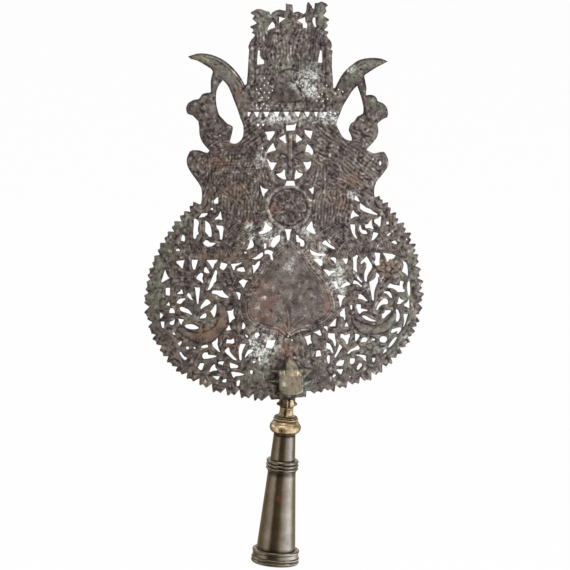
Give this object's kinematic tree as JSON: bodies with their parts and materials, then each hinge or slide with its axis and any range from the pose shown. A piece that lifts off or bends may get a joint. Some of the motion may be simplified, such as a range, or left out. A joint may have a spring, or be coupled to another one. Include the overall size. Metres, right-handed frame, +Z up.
{
  "type": "alam",
  "caption": "Pierced metal head of a processional standard, with tower, two horns and dragon heads, star bosses, a turned neck and a tapered pole socket.",
  "frame": {"origin": "centre of the socket's mouth", "axes": "+Z up along the plate, which stands in the XZ plane; -Y is its front; the socket leans 4.24 degrees, its foot towards -X"},
  "size_m": [0.28, 0.0484, 0.5767],
  "materials": {
    "plate_metal": "worn dark patina with green and pale corrosion",
    "neck_brass": "worn polish",
    "socket_metal": "glossy dark patina"
  },
  "bodies": {
    "root": {"pierced_plate": "plate_metal", "front_star_boss": "neck_brass", "rear_star_boss": "neck_brass", "boss_rivet": "neck_brass", "fork_shank": "neck_brass", "leaf_collar": "neck_brass", "neck_baluster": "neck_brass", "knop": "neck_brass", "socket_upper_tube": "socket_metal", "shank_pin": "socket_metal", "socket_middle_collar": "socket_metal", "socket_lower_tube": "socket_metal", "socket_mouth_collar": "socket_metal"}
  },
  "joints": []
}
